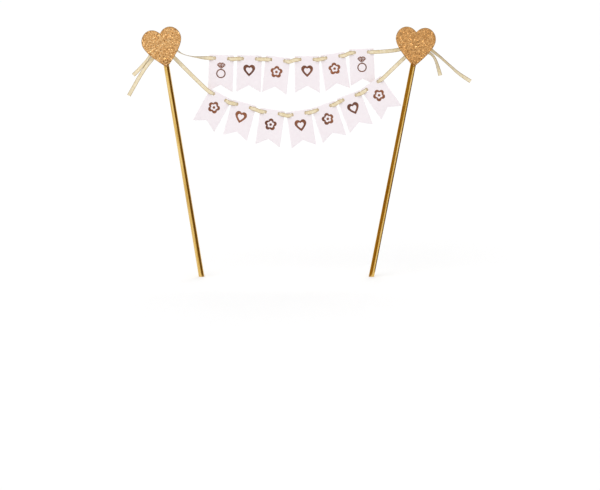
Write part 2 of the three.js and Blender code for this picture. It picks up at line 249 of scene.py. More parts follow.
# Meshes: what delaunay_2d_cdt gives back, and the angles that make an edge
ALL_TRIANGLES = 0
INNER_TRIANGLES = 1
MERGE_DISTANCE = 1e-9
RIM_CLEARANCE = 0.55
RIM_ANGLE = 0.8
SHARP_ANGLE = math.radians(38)

# Stage: lamps by azimuth, elevation and power, and screens beside a stick from azimuth to azimuth
FLOOR_SIZE = 60
FLOOR_SHADE = 0.8
FLOOR_GLOW = 0.18
AMBIENT = 0.5
WHITE = (1, 1, 1, 1)
SUNS = {"key": (-35, 45, 1.1), "fill": (42, 30, 0.5), "back": (172, 40, 1.1)}
SUN_SPREAD = math.radians(50)
BROWN_GLOW = (0.16, 0.082, 0.008, 1)
AMBER_GLOW = (0.36, 0.21, 0.02, 1)
SCREENS = (
    ("left", -2, 108, BROWN_GLOW),
    ("right", -116, 12, AMBER_GLOW),
    ("right", 68, 170, BROWN_GLOW),
)
SCREEN_DISTANCE = 0.02
SCREEN_TOP = 0.173

Form = namedtuple("Form", "point width cup twist")
Station = namedtuple("Station", "point across width cup")
Place = namedtuple("Place", "origin along up")
Curl = namedtuple("Curl", "roll cup skew")
JOINTS = {joint["child"]: joint for joint in frame["joints"]}


def make_camera():
    """The photograph's view, a long lens a little above the bunting."""
    backward = Vector((0, -math.cos(VIEW_ELEVATION), math.sin(VIEW_ELEVATION)))
    upward = Vector((0, math.sin(VIEW_ELEVATION), math.cos(VIEW_ELEVATION)))
    rightward = Vector((1, 0, 0))
    target = rightward * (PHOTO_WIDTH / 2 - ORIGIN_COLUMN) * PIXEL
    target += upward * (ORIGIN_ROW - PHOTO_HEIGHT / 2) * PIXEL
    data = bpy.data.cameras.new("camera")
    data.sensor_width = SENSOR_WIDTH
    data.lens = SENSOR_WIDTH * CAMERA_DISTANCE / (PHOTO_WIDTH * PIXEL)
    camera = bpy.data.objects.new("camera", data)
    camera.location = target + backward * CAMERA_DISTANCE
    camera.rotation_euler = (math.pi / 2 - VIEW_ELEVATION, 0, 0)
    bpy.context.scene.collection.objects.link(camera)
    bpy.context.scene.camera = camera


# Small helpers

def ease(share):
    """A smooth step from 0 to 1."""
    share = min(max(share, 0), 1)
    return share * share * (3 - 2 * share)


def srgb(red, green, blue):
    """A colour in screen values from 0 to 255 as Blender's linear values."""
    linear = []
    for value in (red, green, blue):
        share = value / 255
        linear.append(share / 12.92 if share <= 0.04045 else ((share + 0.055) / 1.055) ** 2.4)
    return (*linear, 1)


def bezier(curve, share):
    """The point at a share of a cubic curve."""
    start, pull, push, end = curve
    rest = 1 - share
    return (
        start * rest**3
        + pull * (3 * rest * rest * share)
        + push * (3 * rest * share * share)
        + end * share**3
    )


def smooth_line(points, steps):
    """A smooth line through points, with a number of steps between each two."""
    line = []
    for index in range(len(points) - 1):
        before = points[max(index - 1, 0)]
        start, end = points[index], points[index + 1]
        after = points[min(index + 2, len(points) - 1)]
        curve = (start, start + (end - before) / 6, end - (after - start) / 6, end)
        line += [bezier(curve, step / steps) for step in range(steps)]
    return [*line, points[-1]]


def line_length(points):
    """Length of a line through points."""
    return sum((end - start).length for start, end in zip(points, points[1:]))


def distances(points):
    """How far along a line each of its points is."""
    return [line_length(points[: index + 1]) for index in range(len(points))]


def tangents(points, closed=False):
    """Direction of a line at each of its points."""
    last = len(points) - 1
    ways = [(points[min(i + 1, last)] - points[max(i - 1, 0)]).normalized() for i in range(last + 1)]
    if closed:
        ways[0] = ways[-1] = (points[1] - points[-1]).normalized()
    return ways


def node_points(node):
    """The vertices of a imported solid."""
    return np.array([vertex.co for vertex in frame["nodes"][node].data.vertices])


def on_place(place, along, up, depth=0):
    """A point of a flag's or heart's own plane."""
    return place.origin + place.along * along + place.up * up + Vector((0, depth, 0))


def plane_place(origin, along):
    """A plane that faces the viewer, with one direction along it."""
    return Place(origin, along, Vector((-along.z, 0, along.x)))


def flag_place(flag):
    """Where a flag's line of holes runs."""
    joint = JOINTS[flag]
    return plane_place(Vector(joint["pos_m"]), Vector(joint["axis"]).normalized())


def stick_ends(side):
    """Middle of a stick's foot and of its top."""
    points = node_points(f"{side}_stick")
    upper = points[:, 2] > points[:, 2].mean()
    low = Vector(points[~upper].mean(axis=0))
    axis = (Vector(points[upper].mean(axis=0)) - low).normalized()
    runs = (points - np.array(low)) @ np.array(axis)
    return low + axis * runs.min(), low + axis * runs.max()


# Meshes

class Shape:
    """Points and faces for one mesh: each point's place on a grid, each face's material and tone."""

    def __init__(self):
        self.points = []
        self.faces = []
        self.grid = []
        self.kinds = []
        self.tones = []

    def add(self, points, faces, grid, tone=0.5):
        """Adds points, and faces whose numbers count from the first of these points."""
        first = len(self.points)
        self.points += points
        self.grid += grid
        self.faces += [[first + index for index in face] for face in faces]
        self.kinds += [0] * len(faces)
        self.tones += [tone] * len(faces)

    def piece(self, name, looks, smooth=True, modifiers=()):
        """Makes the mesh an object, settles its modifiers and gives it its looks."""
        mesh = bpy.data.meshes.new(name)
        mesh.from_pydata([tuple(point) for point in self.points], [], self.faces)
        mesh.polygons.foreach_set("material_index", self.kinds)
        tones = mesh.attributes.new("tone", "FLOAT", "FACE")
        tones.data.foreach_set("value", self.tones)
        grid = mesh.uv_layers.new(name="grid")
        for loop in mesh.loops:
            grid.data[loop.index].uv = self.grid[loop.vertex_index]
        for look in looks:
            mesh.materials.append(look)
        piece = bpy.data.objects.new(name, mesh)
        bpy.context.scene.collection.objects.link(piece)
        if modifiers:
            settle(piece, modifiers)
        if smooth:
            piece.data.shade_smooth()
            piece.data.set_sharp_from_angle(angle=SHARP_ANGLE)
        return piece


def settle(piece, modifiers):
    """Applies modifiers, each a kind and its settings, to a piece's mesh."""
    for kind, settings in modifiers:
        modifier = piece.modifiers.new(kind.lower(), kind)
        for name, value in settings.items():
            setattr(modifier, name, value)
    plain = piece.data
    graph = bpy.context.evaluated_depsgraph_get()
    settled = bpy.data.meshes.new_from_object(piece.evaluated_get(graph))
    piece.modifiers.clear()
    piece.data = settled
    settled.name = piece.name
    bpy.data.meshes.remove(plain)


def rounded(width, steps):
    """A modifier that rounds a sheet's rim."""
    limits = {"limit_method": "ANGLE", "angle_limit": RIM_ANGLE}
    return "BEVEL", {"width": width, "segments": steps, **limits}


def ring_faces(rings, sides, cap=()):
    """Faces between rings of points. Both ends get a cap, as faces of one ring, or they join up."""
    faces = []
    for ring in range(rings - 1 if cap else rings):
        here, there = ring * sides, (ring + 1) % rings * sides
        for side in range(sides):
            turn = (side + 1) % sides
            faces.append([here + side, there + side, there + turn, here + turn])
    last = (rings - 1) * sides
    faces += cap
    faces += [[last + index for index in reversed(face)] for face in cap]
    return faces


def add_strip(shape, stations, closed=False):
    """Adds a woven ribbon with corded edges, swept along stations."""
    points, grid = [], []
    run = 0
    line = [station.point for station in stations]
    for index, (station, way) in enumerate(zip(stations, tangents(line, closed))):
        normal = way.cross(station.across)
        if index:
            run += (line[index] - line[index - 1]).length
        for face in (1, -1):
            for share in SECTION[::face]:
                cord = math.exp(-(((abs(share) - CORD_PLACE) / CORD_SPREAD) ** 2))
                half = RIBBON_THICKNESS / 2 * (FACE_THICKNESS + CORD_RISE * cord)
                lift = face * half + station.cup * (1 - 4 * share * share)
                points.append(station.point + station.across * (share * station.width) + normal * lift)
                grid.append((share + 0.5, run / RIBBON_WIDTH))
    sides = 2 * len(SECTION)
    rungs = [[side, side + 1, sides - 2 - side, sides - 1 - side] for side in range(len(SECTION) - 1)]
    shape.add(points, ring_faces(len(stations), sides, () if closed else rungs), grid)


def inside(points, loop):
    """For each flat point, whether it is inside a closed loop."""
    x, y = points[:, 0:1], points[:, 1:2]
    loop = np.asarray(loop)
    after = np.roll(loop, -1, axis=0)
    spans = (loop[:, 1] > y) != (after[:, 1] > y)
    rise = np.where(after[:, 1] == loop[:, 1], 1, after[:, 1] - loop[:, 1])
    crossings = loop[:, 0] + (y - loop[:, 1]) * (after[:, 0] - loop[:, 0]) / rise
    return (spans & (x < crossings)).sum(axis=1) % 2 == 1


def divided(corners, spacing):
    """A closed loop through corners with points about a spacing apart."""
    loop = []
    for start, end in zip(corners, [*corners[1:], corners[0]]):
        start, end = np.array(start), np.array(end)
        steps = max(1, round(float(np.linalg.norm(end - start)) / spacing))
        loop += [tuple(start + (end - start) * step / steps) for step in range(steps)]
    return loop


def circle(centre, radius, sides):
    """A closed loop round a centre."""
    loop = []
    for side in range(sides):
        turn = 2 * math.pi * side / sides
        loop.append((centre[0] + radius * math.cos(turn), centre[1] + radius * math.sin(turn)))
    return loop


def add_sheet(shape, outline, holes, spacing, surface):
    """Adds a sheet that fills an outline round its holes, bent to a surface."""
    loops = [np.array(loop) for loop in (outline, *holes)]
    rim = np.concatenate(loops)
    edges = []
    first = 0
    for loop in loops:
        edges += [(first + i, first + (i + 1) % len(loop)) for i in range(len(loop))]
        first += len(loop)
    low, high = rim.min(axis=0), rim.max(axis=0)
    across = np.arange(low[0] + spacing / 2, high[0], spacing)
    upward = np.arange(low[1] + spacing / 2, high[1], spacing)
    field = np.array([(x, y) for y in upward for x in across]).reshape(-1, 2)
    if len(field):
        field = field[in_sheet(field, loops)]
        clear = np.linalg.norm(field[:, None] - rim[None], axis=2).min(axis=1)
        field = field[clear > spacing * RIM_CLEARANCE]
    flat = [Vector(point) for point in np.concatenate([rim, field])]
    flat, _, faces, *_ = delaunay_2d_cdt(flat, edges, [], ALL_TRIANGLES, MERGE_DISTANCE)
    middles = [sum((flat[index] for index in face), Vector((0, 0))) / len(face) for face in faces]
    kept = [face for face, keep in zip(faces, in_sheet(np.array(middles), loops)) if keep]
    shape.add([surface(*point) for point in flat], kept, [tuple(point) for point in flat])


def in_sheet(points, loops):
    """For each flat point, whether it is on the sheet: inside its outline and in none of its holes."""
    kept = inside(points, loops[0])
    for hole in loops[1:]:
        kept &= ~inside(points, hole)
    return kept


# Materials

class Nodes:
    """Short ways to add the nodes of a material or a world."""

    def __init__(self, owner):
        owner.use_nodes = True
        self.nodes = owner.node_tree.nodes
        self.links = owner.node_tree.links

    def feed(self, node, values):
        """Sets a node's inputs to values, or links them to other nodes' outputs."""
        for socket, value in values.items():
            if isinstance(value, bpy.types.NodeSocket):
                self.links.new(value, node.inputs[socket])
            else:
                node.inputs[socket].default_value = value

    def node(self, kind, values, **settings):
        """A new node with its inputs and settings."""
        made = self.nodes.new(kind)
        for name, value in settings.items():
            setattr(made, name, value)
        self.feed(made, values)
        return made

    def maths(self, operation, first, second=0.5):
        """The result of one sum on one or two values."""
        return self.node("ShaderNodeMath", {0: first, 1: second}, operation=operation).outputs[0]


class Look(Nodes):
    """A material with short ways to add what its shader needs."""

    def __init__(self, name, sockets):
        self.material = bpy.data.materials.new(name)
        super().__init__(self.material)
        self.shader = self.nodes["Principled BSDF"]
        self.feed(self.shader, sockets)

    def place(self, scale):
        """The surface's place in the object, stretched."""
        source = self.nodes.new("ShaderNodeTexCoord").outputs["Object"]
        return self.node("ShaderNodeMapping", {"Vector": source, "Scale": scale}).outputs[0]

    def grid(self, scale):
        """The vertex's place on its own grid, stretched."""
        source = self.node("ShaderNodeUVMap", {}, uv_map="grid").outputs[0]
        return self.node("ShaderNodeMapping", {"Vector": source, "Scale": scale}).outputs[0]

    def noise(self, vector, detail=3, roughness=0.55):
        """Cloudy noise at places that are already stretched."""
        values = {"Vector": vector, "Scale": 1, "Detail": detail, "Roughness": roughness}
        return self.node("ShaderNodeTexNoise", values).outputs["Fac"]

    def ramp(self, factor, *stops):
        """Colours or shades at places along a factor."""
        node = self.node("ShaderNodeValToRGB", {"Fac": factor})
        elements = node.color_ramp.elements
        while len(elements) < len(stops):
            elements.new(0.5)
        for element, (position, colour) in zip(elements, stops):
            element.position = position
            element.color = colour
        return node.outputs["Color"]

    def range(self, factor, low, high):
        """A factor from 0 to 1 turned into another range."""
        values = {"Value": factor, "To Min": low, "To Max": high}
        return self.node("ShaderNodeMapRange", values).outputs[0]

    def mix(self, factor, first, second, blend="MIX"):
        """Two colours mixed by a factor."""
        values = {0: factor, 6: first, 7: second}
        return self.node("ShaderNodeMix", values, data_type="RGBA", blend_type=blend).outputs[2]

    def bump(self, height, strength, distance):
        """Roughens the surface's shading by a height."""
        values = {"Height": height, "Strength": strength, "Distance": distance}
        self.feed(self.shader, {"Normal": self.node("ShaderNodeBump", values).outputs[0]})

    def finish(self, **sockets):
        """Feeds the shader's inputs, named with underscores for spaces, and returns the material."""
        self.feed(self.shader, {name.replace("_", " "): value for name, value in sockets.items()})
        return self.material


def gold_foil_look():
    """Polished foil on a rolled stick: fine lengthwise drag lines, whose dark and pale streaks are also
    painted reflections, and rubbed patches.
    """
    look = Look("gold_foil", {"Metallic": 1})
    streaks_and_painted_reflections = look.noise(look.grid((46, 0.35, 1)), 5, 0.6)
    rubbed = look.noise(look.grid((5, 1.6, 1)), 4)
    # Colour of the streaks, from dark brown to pale cream: drag lines, and painted reflection bands
    colour = look.ramp(
        streaks_and_painted_reflections,
        (0.34, srgb(150, 104, 32)),
        (0.45, srgb(212, 170, 84)),
        (0.56, srgb(237, 204, 126)),
        (0.7, srgb(252, 234, 186)),
    )
    look.bump(streaks_and_painted_reflections, 0.25, 0.06 * MM)
    return look.finish(Base_Color=colour, Roughness=look.range(rubbed, 0.1, 0.3))


def grain_look(name, metallic, scale, clouds, bump, roughness, *stops):
    """A material with one grain, which sets its colour, its height and its roughness."""
    look = Look(name, {"Metallic": metallic})
    grain = look.noise(look.place(scale), *clouds)
    look.bump(grain, bump[0], bump[1] * MM)
    return look.finish(Base_Color=look.ramp(grain, *stops), Roughness=look.range(grain, *roughness))


def paper_end_look():
    """Cut end of the rolled stick."""
    look = Look("rolled_paper", {"Roughness": 0.85})
    fibres = look.noise(look.place((2600, 2600, 2600)))
    look.bump(fibres, 0.5, 0.05 * MM)
    colour = look.ramp(fibres, (0.3, srgb(214, 200, 172)), (0.7, srgb(240, 232, 214)))
    return look.finish(Base_Color=colour)


def glitter_bed_look():
    """Glue and fine glitter dust between the flakes."""
    return grain_look(
        "glitter_bed", 0.7, (2400, 2400, 2400), (4, 0.7), (0.8, 0.15), (0.6, 0.35),
        (0.32, srgb(108, 72, 38)), (0.5, srgb(170, 124, 72)), (0.66, srgb(218, 174, 116)),
    )


def glitter_flake_look():
    """Metal flakes, each with its own tone by chance, lighter on one heart and darker on the other as
    painted light and shade.
    """
    look = Look("glitter_flake", {"Metallic": 1})
    tone = look.node("ShaderNodeAttribute", {}, attribute_name="tone").outputs["Fac"]
    haze = look.noise(look.place((3200, 3200, 3200)), 2)
    colour = look.ramp(
        tone,
        (0.0, srgb(128, 86, 46)),
        (0.3, srgb(188, 136, 80)),
        (0.65, srgb(216, 164, 102)),
        (1.0, srgb(250, 212, 156)),
    )
    look.bump(haze, 0.2, 0.03 * MM)
    return look.finish(Base_Color=colour, Roughness=look.range(haze, 0.08, 0.26))


def board_edge_look():
    """Die-cut edge of the heart's board, dusted with gold and painted darker as the shade of the
    heart's rim.
    """
    # Dark olive colours: gold dust, and painted shade along the rim
    return grain_look(
        "board_edge_dust_and_shade", 0.35, (900, 5200, 900), (3, 0.55), (0.5, 0.06), (0.5, 0.75),
        (0.3, srgb(104, 80, 42)), (0.7, srgb(158, 126, 74)),
    )


def board_back_look():
    """Plain uncoated back of the heart's board."""
    look = Look("board_back", {"Roughness": 0.85})
    cloud = look.noise(look.place((320, 320, 320)), 4)
    fibres = look.noise(look.place((1500, 1500, 5200)), 4, 0.65)
    pulp = look.ramp(cloud, (0.3, srgb(226, 212, 188)), (0.7, srgb(238, 228, 208)))
    colour = look.mix(fibres, pulp, srgb(206, 190, 162))
    look.bump(fibres, 0.4, 0.05 * MM)
    return look.finish(Base_Color=colour)


def ribbon_look():
    """Woven ribbon: cross ribs, thread slubs, darker corded edges and a satin sheen."""
    look = Look("woven_ribbon", {"Sheen Weight": 0.25, "Sheen Roughness": 0.4, "Metallic": 0.12})
    across = look.node("ShaderNodeSeparateXYZ", {"Vector": look.grid((1, 1, 1))})
    edge = look.maths("ABSOLUTE", look.maths("SUBTRACT", across.outputs["X"], 0.5))
    ribs = look.maths("SINE", look.maths("MULTIPLY", across.outputs["Y"], 2 * math.pi * RIBS_PER_WIDTH))
    threads = look.noise(look.grid((26, 0.7, 1)), 3)
    slubs = look.noise(look.grid((0.8, 1.3, 1)), 4)
    straw = look.ramp(
        slubs, (0.3, srgb(230, 212, 168)), (0.5, srgb(243, 229, 196)), (0.7, srgb(251, 241, 218))
    )
    threaded = look.mix(look.range(threads, 0, 0.45), straw, srgb(212, 190, 142))
    corded = look.ramp(
        edge, (0.35, srgb(255, 255, 255)), (0.41, srgb(212, 198, 164)), (0.5, srgb(160, 142, 104))
    )
    colour = look.mix(1, threaded, corded, "MULTIPLY")
    look.bump(look.maths("ADD", look.maths("MULTIPLY", ribs, 0.35), threads), 0.5, 0.05 * MM)
    return look.finish(Base_Color=colour, Roughness=look.range(threads, 0.38, 0.62))


def card_look():
    """Matt tinted card with a faint mottle and fibres."""
    look = Look("tinted_card", {"Specular IOR Level": 0.3})
    mottle = look.noise(look.place((260, 260, 260)), 4)
    fibres = look.noise(look.place((2300, 2300, 2300)), 4, 0.7)
    tint = look.ramp(mottle, (0.3, srgb(249, 240, 244)), (0.7, srgb(251, 244, 247)))
    colour = look.mix(look.range(fibres, 0, 0.18), tint, srgb(232, 220, 224))
    look.bump(fibres, 0.4, 0.06 * MM)
    return look.finish(Base_Color=colour, Roughness=look.range(fibres, 0.62, 0.82))


def copper_foil_look():
    """Hot-stamped copper foil with worn spots."""
    look = Look("copper_foil", {"Metallic": 0.7})
    wear = look.noise(look.place((900, 900, 900)), 4, 0.65)
    grain = look.noise(look.place((3400, 3400, 3400)), 3)
    tone = look.noise(look.place((34, 34, 34)), 2)
    dark = look.ramp(
        wear, (0.32, srgb(92, 57, 45)), (0.5, srgb(106, 67, 53)), (0.72, srgb(128, 83, 66))
    )
    light = look.ramp(
        wear, (0.32, srgb(130, 79, 53)), (0.5, srgb(147, 91, 62)), (0.72, srgb(172, 112, 80))
    )
    share = look.ramp(tone, (0.38, srgb(0, 0, 0)), (0.62, srgb(255, 255, 255)))
    colour = look.mix(share, dark, light)
    look.bump(grain, 0.25, 0.03 * MM)
    return look.finish(Base_Color=colour, Roughness=look.range(grain, 0.24, 0.46))


def foam_look():
    """White closed-cell foam, painted darker in the middle of each cell's pit as shade."""
    look = Look("white_foam", {"Roughness": 0.9})
    values = {"Vector": look.place((1900, 1900, 1900)), "Scale": 1}
    cells_and_pit_shade = look.node("ShaderNodeTexVoronoi", values).outputs[0]
    look.bump(cells_and_pit_shade, 0.7, 0.12 * MM)
    # Darker where the cells dent: painted shade in the pits
    colour = look.ramp(cells_and_pit_shade, (0.0, srgb(214, 210, 202)), (0.6, srgb(244, 242, 236)))
    return look.finish(Base_Color=colour)


def tape_look():
    """Adhesive film on the foam."""
    return grain_look(
        "adhesive_film", 0, (700, 700, 700), (3, 0.55), (0.3, 0.05), (0.22, 0.4),
        (0.3, srgb(222, 208, 170)), (0.7, srgb(238, 228, 198)),
    )


# Ribbons and knots

def weave(place):
    """Forms of a ribbon across a flag: in front, but behind between its two holes."""
    reach = (HOLE_SPACING + NECK_RUN) / 2
    forms = []
    for step in range(WEAVE_STEPS + 1):
        along = reach * (2 * step / WEAVE_STEPS - 1)
        from_holes = [along + HOLE_SPACING / 2, along - HOLE_SPACING / 2]
        behind = ease(from_holes[0] / CROSS_RUN + 0.5) - ease(from_holes[1] / CROSS_RUN + 0.5)
        pinch = sum(ease(1 - abs(offset) / (NECK_RUN / 2)) for offset in from_holes)
        point = on_place(place, along, 0, STAND_OFF * (2 * behind - 1))
        width = RIBBON_WIDTH - pinch * (RIBBON_WIDTH - NECK_WIDTH)
        forms.append(Form(point, width, pinch * NECK_CUP, 0))
    return forms


def lead_points(side, knot_end, place, lead):
    """The ribbon's line from a knot to the nearest flag."""
    reach = side * (HOLE_SPACING + NECK_RUN) / 2
    flag_end = on_place(place, reach, 0, -STAND_OFF)
    fall = Vector((-side * math.cos(lead.knot_fall), 0, -math.sin(lead.knot_fall)))
    flag_pull = flag_end + place.along * (side * lead.flag_pull)
    curve = (knot_end, knot_end + fall * lead.knot_pull, flag_pull, flag_end)
    return [bezier(curve, step / LEAD_STEPS) for step in range(LEAD_STEPS)]


def tucked(end, shift):
    """Where a ribbon stops inside its knot: sideways from its end and nearer the stick."""
    return end + Vector((shift, -math.copysign(TUCK_DEPTH, end.y), 0))


def knot_forms(points, runs, twist):
    """Forms of a ribbon from its tucked end on: pinched flat, then bunched, then open, with a twist."""
    forms = [Form(points[0], TUCK_WIDTH, 0, 0)]
    for point, run in zip(points[1:], runs[1:]):
        opened = ease(run / BUNCHED_LENGTH)
        width = BUNCHED_WIDTH + opened * (RIBBON_WIDTH - BUNCHED_WIDTH)
        turn = twist * math.sin(math.pi * run / runs[-1])
        forms.append(Form(point, width, BUNCHED_CUP * (1 - opened), turn))
    return forms


def hang_ribbon(name, body, node, forms, look):
    """A ribbon that rides a body in a node's place, and faces the viewer apart from its twist."""
    points = [form.point for form in forms]
    stations = []
    for form, way in zip(forms, tangents(points)):
        across = way.cross(Vector((0, 1, 0))).normalized()
        turned = across * math.cos(form.twist) + way.cross(across) * math.sin(form.twist)
        stations.append(Station(form.point, turned, form.width, form.cup))
    shape = Shape()
    add_strip(shape, stations)
    piece = shape.piece(name, [look])
    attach(piece, body)
    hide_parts(node)


def make_line(row, look):
    """One woven line of ribbon, from knot to knot."""
    places = [flag_place(f"{row}_flag_{number + 1}") for number in range(FLAG_COUNTS[row])]
    low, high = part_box(f"{row}_ribbon")
    joint = Vector(JOINTS[f"{row}_line"]["pos_m"])

    def lead_forms(side, end_x, place, lead):
        knot_end = Vector((end_x, joint.y, joint.z))
        line = lead_points(side, knot_end, place, lead)
        tuck = tucked(knot_end, side * KNOT_TUCK)
        return knot_forms([tuck, *line], [0, *distances(line)], lead.twist)

    forms = lead_forms(-1, low.x, places[0], LEADS[row][0])
    for index, place in enumerate(places):
        woven = weave(place)
        forms += woven
        if index + 1 < len(places):
            after = places[index + 1]
            start, end = woven[-1].point, weave(after)[0].point
            pull = (end - start).length / 3
            curve = (start, start + place.along * pull, end - after.along * pull, end)
            for step in range(1, LINK_STEPS):
                forms.append(Form(bezier(curve, step / LINK_STEPS), RIBBON_WIDTH, 0, 0))
    forms += reversed(lead_forms(1, high.x, places[-1], LEADS[row][1]))
    hang_ribbon(f"{row}_line_ribbon", f"{row}_line", f"{row}_ribbon", forms, look)


def make_tail(side, row, look):
    """A loose ribbon end that hangs from its knot."""
    node = f"{side}_{row}_tail"
    outward = -1 if side == "left" else 1
    low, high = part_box(node)
    joint = Vector(JOINTS[f"{row}_line"]["pos_m"])
    start = Vector((high.x if outward < 0 else low.x, joint.y, joint.z))
    twist, offsets = TAILS[f"{side}_{row}"]
    line = [start + Vector((outward * out, back, up)) * MM for out, back, up in offsets]
    points = [tucked(start, -outward * TAIL_TUCK), *smooth_line(line, TAIL_STEPS)]
    forms = knot_forms(points, distances(points), math.radians(twist))
    hang_ribbon(f"{node}_ribbon", "frame", node, forms, look)


def make_knot(side, row, look):
    """Ribbon wound round the stick and tied, with a lump where the tail leaves."""
    node = f"{side}_{row}_knot"
    foot, top = stick_ends(side)
    axis = (top - foot).normalized()
    joint = Vector(JOINTS[f"{row}_line"]["pos_m"])
    middle = foot + axis * ((joint.z - foot.z) / axis.z)
    inward = Vector((1 if side == "left" else -1, 0, 0))
    inner = (inward - axis * inward.dot(axis)).normalized()
    facing = Vector((0, math.copysign(1, joint.y), 0))
    depth = facing * abs(joint.y)

    entry = []
    for step in range(ENTRY_STEPS):
        entry.append(middle + inner * (KNOT_REACH * (1 - step / ENTRY_STEPS)) + depth)
    turn = []
    for step in range(WRAP_STEPS + 1):
        share = step / WRAP_STEPS
        angle = math.pi / 2 + 2 * math.pi * share
        radius = WRAP_RADIUS + WRAP_GROWTH * share
        spoke = inner * math.cos(angle) + facing * math.sin(angle)
        turn.append(middle + spoke * radius + axis * (WRAP_RISE * (2 * share - 1)))
    leave = []
    for step in range(LEAVE_FIRST, LEAVE_STEPS + 1):
        leave.append(middle - inner * (LUMP_OUT * step / LEAVE_STEPS) + depth + axis * WRAP_RISE)
    points = [*entry, *turn, *leave]
    shape = Shape()
    add_strip(shape, [Station(point, axis, BUNCHED_WIDTH, 0) for point in points])

    # The lump is a closed strand in the shape of a trefoil knot
    lump = middle - inner * LUMP_OUT + depth
    strand = []
    for step in range(LUMP_STEPS):
        angle = 2 * math.pi * step / LUMP_STEPS
        wide = (math.sin(angle) + 2 * math.sin(2 * angle)) / 3
        tall = (math.cos(angle) - 2 * math.cos(2 * angle)) / 3
        deep = -math.sin(3 * angle)
        strand.append(
            inner * (wide * LUMP_HALVES[0])
            + facing * (deep * LUMP_HALVES[1])
            + axis * (tall * LUMP_HALVES[2])
        )
    stations = []
    for spoke, way in zip(strand, tangents(strand, closed=True)):
        stations.append(Station(lump + spoke, spoke.cross(way).normalized(), LUMP_STRAND, 0))
    add_strip(shape, stations, closed=True)
    piece = shape.piece(f"{node}_ribbon", [look])
    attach(piece, "frame")
    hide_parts(node)


# Flags and their foil motifs

def curl_depth(curl, along, up):
    """How far the card stands back from its flat plane."""
    drop = max(-up - FLAT_BELOW_HOLES, 0) / FLAG_HEIGHT
    side = along / (FLAG_WIDTH / 2)
    cup = curl.cup * ease(CUP_GAIN * drop)
    return curl.roll * drop * drop + cup * side * side + curl.skew * drop * side


def heart_loop(height, foot):
    """A heart's outline, with its tip at a foot."""
    scale = height / HEART_SIZE
    half = [
        bezier([Vector(point) for point in curve], step / HEART_STEPS)
        for curve in HEART_HALF
        for step in range(HEART_STEPS)
    ]
    other = [Vector((-point.x, point.y)) for point in reversed(half[1:])]
    whole = [*half, Vector((0, HEART_NOTCH)), *other]
    return [(point.x * scale, foot + point.y * scale) for point in whole]


def shrunk(loop, share):
    """A smaller copy of a loop about its middle."""
    points = np.array(loop)
    middle = (points.min(axis=0) + points.max(axis=0)) / 2
    return [tuple(point) for point in middle + (points - middle) * share]


def heart_motif():
    """An open heart."""
    outline = heart_loop(MOTIF_HEIGHT, MOTIF_CENTRE - MOTIF_HEIGHT / 2)
    return [(outline, [shrunk(outline, HEART_OPENING)])]


def blossom_motif():
    """An open blossom with five petals and a dot at its middle."""
    outline = []
    petal = 2 * math.pi / PETALS
    for step in range(PETALS * PETAL_STEPS):
        angle = petal * step / PETAL_STEPS
        aside = (angle + petal / 2) % petal - petal / 2
        off = PETAL_OUT * math.sin(aside)
        reach = PETAL_OUT * math.cos(aside) + math.sqrt(PETAL_RADIUS**2 - off**2)
        turned = angle + math.pi / 2
        outline.append((reach * math.cos(turned), MOTIF_CENTRE + reach * math.sin(turned)))
    stamen = circle((0, MOTIF_CENTRE), STAMEN_RADIUS, STAMEN_SIDES)
    return [(outline, [shrunk(outline, BLOSSOM_OPENING)]), (stamen, [])]


def ring_motif():
    """A plain ring with a cut stone, as a common pictogram."""
    band = circle((0, BAND_CENTRE), BAND_RADIUS, BAND_SIDES)
    opening = circle((0, BAND_CENTRE), BAND_RADIUS - BAND_STROKE, BAND_SIDES)
    shapes = [(band, [opening])]
    facets = [(GEM_GIRDLE[index], GEM_TABLE[index], GEM_TABLE[index - 1]) for index in (1, 2)]
    for left, right, above in zip(GEM_GIRDLE, GEM_GIRDLE[1:], GEM_TABLE):
        facets += [(left, right, above), (GEM_CULET, right, left)]
    for facet in facets:
        corners = np.array([(x * MM, GEM_FOOT + y * MM) for x, y in facet])
        middle = corners.mean(axis=0)
        shapes.append((divided(middle + (corners - middle) * FACET_SHARE, FOIL_SPACING), []))
    return shapes


MOTIFS = {
    "upper": (ring_motif, heart_motif, blossom_motif, heart_motif, blossom_motif, ring_motif),
    "lower": (*(blossom_motif, heart_motif) * 3, blossom_motif),
}


def make_flag(row, number, looks, draw):
    """A notched card flag with its punched holes, own curl and foil motif."""
    flag = f"{row}_flag_{number + 1}"
    place = flag_place(flag)
    curl = Curl(draw.uniform(-ROLL, ROLL), draw.uniform(-CUP, CUP), draw.uniform(-SKEW, SKEW))
    half = FLAG_WIDTH / 2
    bottom = FLAG_TOP - FLAG_HEIGHT
    notch = bottom + FLAG_NOTCH
    corners = [(-half, FLAG_TOP), (-half, bottom), (0, notch), (half, bottom), (half, FLAG_TOP)]
    holes = [circle((side * HOLE_SPACING / 2, 0), HOLE_RADIUS, HOLE_SIDES) for side in (-1, 1)]

    card = Shape()
    add_sheet(
        card, divided(corners, CARD_SPACING), holes, CARD_SPACING,
        lambda along, up: on_place(place, along, up, curl_depth(curl, along, up)),
    )
    piece = card.piece(
        f"{flag}_card", [looks["card"]],
        modifiers=[
            ("SOLIDIFY", {"thickness": CARD_THICKNESS, "offset": 0}),
            rounded(CARD_EDGE, CARD_EDGE_STEPS),
        ],
    )
    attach(piece, flag)
    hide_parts(flag)

    foil = Shape()
    lift = -CARD_THICKNESS / 2 - FOIL_LIFT
    for outline, openings in MOTIFS[row][number]():
        add_sheet(
            foil, outline, openings, FOIL_SPACING,
            lambda along, up: on_place(place, along, up, curl_depth(curl, along, up) + lift),
        )
    motif = foil.piece(
        f"{flag}_foil", [looks["copper"]],
        modifiers=[("SOLIDIFY", {"thickness": FOIL_THICKNESS, "offset": -1})],
    )
    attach(motif, flag)


# Hearts, pads and sticks

